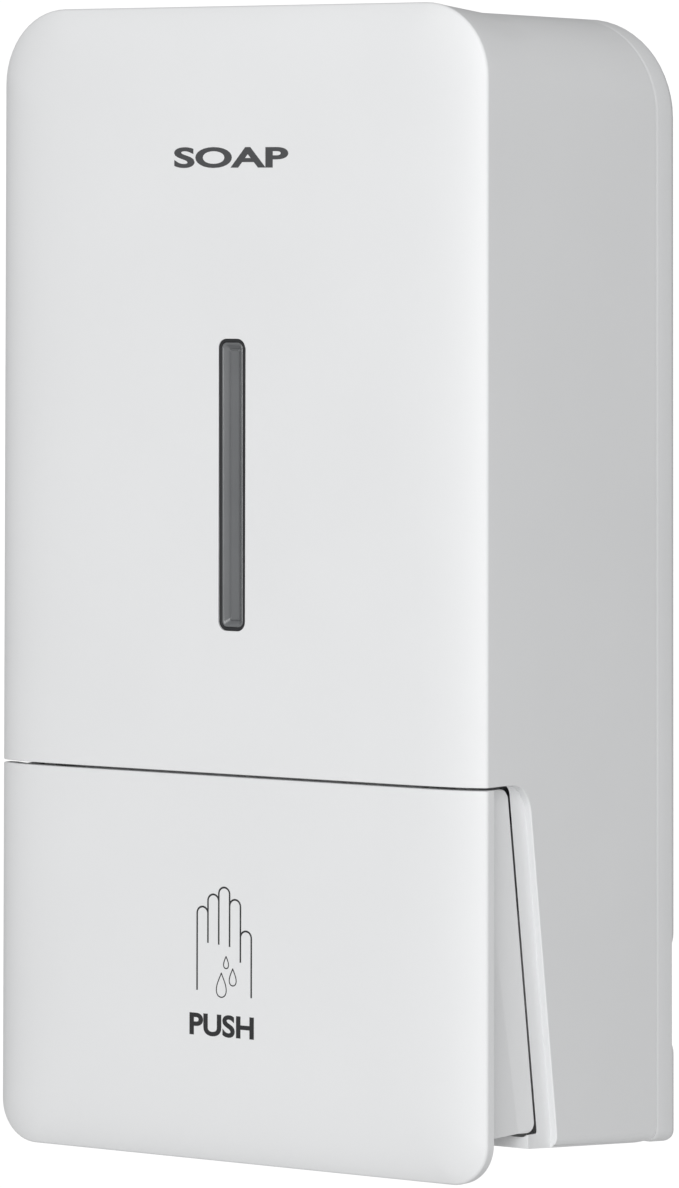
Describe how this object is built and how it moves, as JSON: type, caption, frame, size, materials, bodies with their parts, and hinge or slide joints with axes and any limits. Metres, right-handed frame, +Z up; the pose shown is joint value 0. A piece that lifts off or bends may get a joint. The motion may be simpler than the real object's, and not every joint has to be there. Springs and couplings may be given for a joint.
{
  "type": "wall mounted soap dispenser",
  "caption": "Upright wall soap dispenser with a pillowed front, a level window, a push panel at the foot, a hinged cover, an inner tank and a lift pump.",
  "frame": {"origin": "middle of the flat back of the wall plate, half way up the dispenser", "axes": "+Z up, +Y into the wall, -Y towards the user, +X to the right as seen from the wall's front by the user"},
  "size_m": [0.1244, 0.0761, 0.24],
  "materials": {
    "case_plastic": "white moulded plastic, fine satin texture",
    "tank_plastic": "translucent natural plastic",
    "window_plastic": "smoky clear plastic, polished",
    "pump_plastic": "natural white acetal",
    "rubber": "black moulded rubber, matt",
    "steel": "drawn stainless steel",
    "zinc": "plated zinc"
  },
  "bodies": {
    "case": {"wall_plate": "case_plastic", "lock_keeper": "steel", "reservoir": "tank_plastic", "lid_hinge_pin": "steel", "pump_cylinder": "pump_plastic", "collar_nut": "pump_plastic", "port_gasket": "rubber", "inlet_valve": "rubber", "pump_spring": "steel", "cover_hinge_pin_left": "steel", "cover_hinge_pin_right": "steel"},
    "cover": {"front_cover": "case_plastic", "window_gasket": "rubber", "window_lens": "window_plastic", "window_retainer": "case_plastic", "lever_axle": "steel", "lock_barrel": "zinc", "lock_nut": "zinc", "stop_bumper_left": "rubber", "stop_bumper_right": "rubber"},
    "lock": {"lock_core": "zinc", "lock_cam": "steel", "cam_screw": "steel"},
    "lever": {"push_panel": "case_plastic", "lever_fork": "pump_plastic", "fork_screw_left": "steel", "fork_screw_right": "steel", "lever_bush_left": "pump_plastic", "lever_bush_right": "pump_plastic"},
    "piston": {"pump_piston": "pump_plastic", "piston_seal": "rubber", "outlet_valve": "rubber", "nozzle_tip": "pump_plastic"},
    "lid": {"reservoir_lid": "tank_plastic", "lid_seal": "rubber"}
  },
  "joints": [
    {"name": "cover_hinge", "type": "hinge", "parent": "case", "child": "cover", "pos_m": [0, -0.0118, -0.1148], "axis": [1, 0, 0], "range_deg": [0, 85]},
    {"name": "lever_pivot", "type": "hinge", "parent": "cover", "child": "lever", "pos_m": [0, -0.0635, -0.044], "axis": [1, 0, 0], "range_deg": [0, 11.5], "stiffness_Nm_per_rad": 0.6, "springref_deg": -11.46},
    {"name": "piston_lift", "type": "slide", "parent": "case", "child": "piston", "axis": [0, 0, 1], "range_m": [0, 0.00705], "deforming": ["pump_spring"]},
    {"name": "lock_turn", "type": "hinge", "parent": "cover", "child": "lock", "pos_m": [0, -0.017, 0.11], "axis": [0, 0, -1], "range_deg": [0, 90]},
    {"name": "lid_hinge", "type": "hinge", "parent": "case", "child": "lid", "pos_m": [0, -0.0286, 0.0886], "axis": [-1, 0, 0], "range_deg": [0, 90]}
  ],
  "couplings": [
    {"joint": "piston_lift", "follows": "lever_pivot", "m_per_rad": 0.035}
  ]
}
